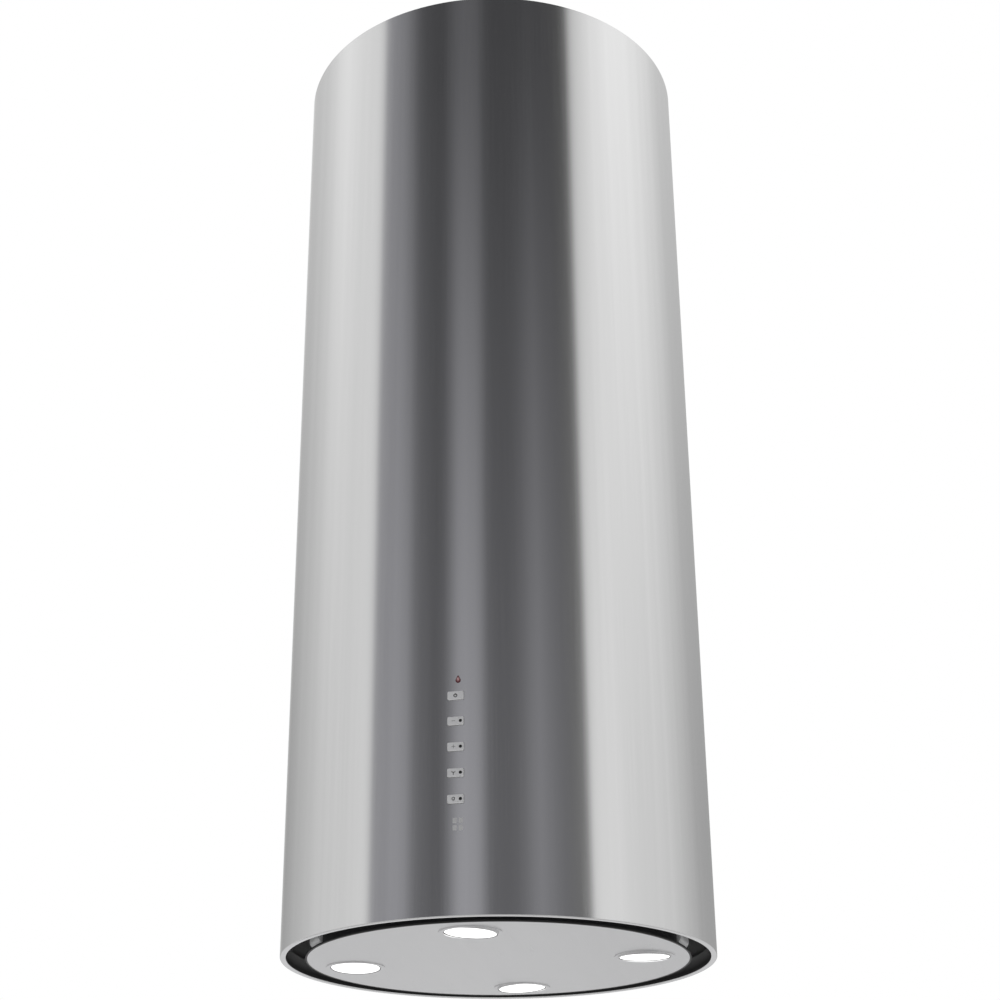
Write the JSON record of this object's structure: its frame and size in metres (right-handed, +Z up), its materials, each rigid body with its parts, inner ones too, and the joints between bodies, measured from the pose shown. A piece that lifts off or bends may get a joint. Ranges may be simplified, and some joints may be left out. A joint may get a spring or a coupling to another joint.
{
  "type": "island range hood",
  "caption": "Ceiling-hung round steel tube hood with a suction slot round a flush hinged lamp panel, and push keys on its front.",
  "frame": {"origin": "centre of the ceiling plate's upper face", "axes": "+Z up into the ceiling, -Y towards the keys, +X to the right of someone facing the keys"},
  "size_m": [0.3799, 0.3837, 0.9023],
  "materials": {
    "shell_steel": "satin brushed stainless steel, grain along the tube",
    "panel_steel": "satin brushed stainless steel",
    "pan_steel": "black stove enamel",
    "galvanised_steel": "galvanised sheet",
    "fastener_steel": "zinc-plated",
    "filter_aluminium": "mill finish",
    "mesh_aluminium": "expanded mesh",
    "latch_plastic": "matt",
    "spring_steel": "bright spring wire",
    "volute_plastic": "moulded",
    "impeller_plastic": "moulded",
    "motor_paint": "black stove enamel",
    "flap_plastic": "moulded",
    "board_laminate": "solder-masked board",
    "terminal_plastic": "moulded",
    "gland_nylon": "moulded",
    "capacitor_case": "moulded",
    "switch_plastic": "moulded",
    "key_satin": "satin silver",
    "warning_red": "clear red",
    "magnet_nickel": "nickel-plated",
    "ring_satin": "satin",
    "lens_glass": "frosted, lit from behind",
    "can_aluminium": "pressed",
    "bulb_glass": "clear",
    "cable_sleeve": "matt"
  },
  "bodies": {
    "hood": {"blower_drum": "galvanised_steel", "cable_gland": "gland_nylon", "capacitor": "capacitor_case", "ceiling_plate": "galvanised_steel", "control_board": "board_laminate", "control_bracket": "galvanised_steel", "deck_contact_block": "terminal_plastic", "deck_plate": "galvanised_steel", "electronics_box": "galvanised_steel", "electronics_lid": "galvanised_steel", "filter_frame": "filter_aluminium", "filter_latch_spring": "spring_steel", "filter_mesh": "mesh_aluminium", "flap_pin": "fastener_steel", "frame_bolts": "fastener_steel", "frame_brace": "galvanised_steel", "hinge_brackets": "pan_steel", "hinge_pins": "fastener_steel", "key_springs": "spring_steel", "key_switches": "switch_plastic", "lower_legs": "galvanised_steel", "m4_screws": "fastener_steel", "magnet_posts": "magnet_nickel", "motor": "motor_paint", "motor_mount": "galvanised_steel", "outer_shell": "shell_steel", "outlet_collar": "galvanised_steel", "power_board": "board_laminate", "shell_brackets": "galvanised_steel", "terminal_block": "terminal_plastic", "upper_legs": "galvanised_steel", "volute_left": "volute_plastic", "volute_right": "volute_plastic", "warning_lens": "warning_red", "wiring_harness": "cable_sleeve"},
    "key_1": {"key_1": "key_satin"},
    "key_2": {"key_2": "key_satin"},
    "key_3": {"key_3": "key_satin"},
    "key_4": {"key_4": "key_satin"},
    "key_5": {"key_5": "key_satin"},
    "lamp_panel": {"panel_face": "panel_steel", "panel_pan": "pan_steel", "panel_hinge_arms": "pan_steel", "panel_contact_block": "terminal_plastic", "lamp_cans": "can_aluminium", "lamp_bulbs": "bulb_glass", "lamp_springs": "spring_steel", "lamp_ring_front": "ring_satin", "lamp_ring_right": "ring_satin", "lamp_ring_back": "ring_satin", "lamp_ring_left": "ring_satin", "lamp_lens_front": "lens_glass", "lamp_lens_right": "lens_glass", "lamp_lens_back": "lens_glass", "lamp_lens_left": "lens_glass"},
    "fan": {"impeller": "impeller_plastic", "motor_shaft": "fastener_steel"},
    "front_flap": {"front_flap": "flap_plastic"},
    "rear_flap": {"rear_flap": "flap_plastic"},
    "filter_latch": {"filter_latch": "latch_plastic"}
  },
  "joints": [
    {"name": "key_1_press", "type": "slide", "parent": "hood", "child": "key_1", "axis": [0, 1, 0], "range_m": [0, 0.001], "stiffness_N_per_m": 600, "springref_m": -0.001, "deforming": ["key_springs"]},
    {"name": "key_2_press", "type": "slide", "parent": "hood", "child": "key_2", "axis": [0, 1, 0], "range_m": [0, 0.001], "stiffness_N_per_m": 600, "springref_m": -0.001, "deforming": ["key_springs"]},
    {"name": "key_3_press", "type": "slide", "parent": "hood", "child": "key_3", "axis": [0, 1, 0], "range_m": [0, 0.001], "stiffness_N_per_m": 600, "springref_m": -0.001, "deforming": ["key_springs"]},
    {"name": "key_4_press", "type": "slide", "parent": "hood", "child": "key_4", "axis": [0, 1, 0], "range_m": [0, 0.001], "stiffness_N_per_m": 600, "springref_m": -0.001, "deforming": ["key_springs"]},
    {"name": "key_5_press", "type": "slide", "parent": "hood", "child": "key_5", "axis": [0, 1, 0], "range_m": [0, 0.001], "stiffness_N_per_m": 600, "springref_m": -0.001, "deforming": ["key_springs"]},
    {"name": "panel_hinge", "type": "hinge", "parent": "hood", "child": "lamp_panel", "pos_m": [0, 0.172, -0.894], "axis": [1, 0, 0], "range_deg": [0, 90]},
    {"name": "fan_spin", "type": "hinge", "parent": "hood", "child": "fan", "pos_m": [0, -0.042, -0.715], "axis": [1, 0, 0], "continuous": true},
    {"name": "front_flap_swing", "type": "hinge", "parent": "hood", "child": "front_flap", "pos_m": [0, -0.004, -0.506], "axis": [-1, 0, 0], "range_deg": [0, 80]},
    {"name": "rear_flap_swing", "type": "hinge", "parent": "hood", "child": "rear_flap", "pos_m": [0, 0.004, -0.506], "axis": [1, 0, 0], "range_deg": [0, 80]},
    {"name": "filter_latch_slide", "type": "slide", "parent": "hood", "child": "filter_latch", "axis": [0, 1, 0], "range_m": [0, 0.005], "stiffness_N_per_m": 250, "springref_m": -0.003, "deforming": ["filter_latch_spring"]}
  ]
}
